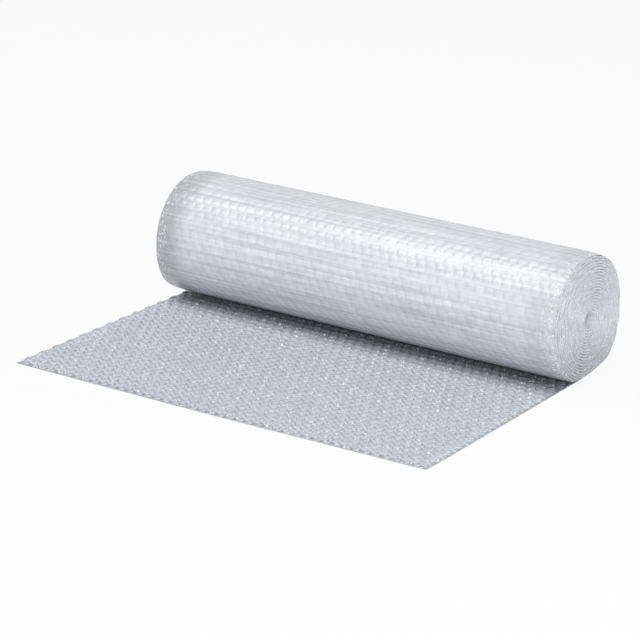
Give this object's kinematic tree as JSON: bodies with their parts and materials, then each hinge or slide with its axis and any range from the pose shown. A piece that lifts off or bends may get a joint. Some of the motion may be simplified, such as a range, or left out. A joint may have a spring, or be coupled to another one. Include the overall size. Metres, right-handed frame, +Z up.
{
  "type": "bubble film roll",
  "caption": "Coreless roll of clear small-bubble cushioning film on its side, with its free end laid out flat in front, bubbles up.",
  "frame": {"origin": "on the floor, in the middle of the space that the roll and its laid end cover", "axes": "+X along the roll, -Y towards the cut end of the laid sheet, +Z up"},
  "size_m": [0.5, 0.37, 0.135],
  "materials": {
    "clear_film": "translucent polythene film"
  },
  "bodies": {
    "root": {"bubble_film": "clear_film"}
  },
  "joints": []
}
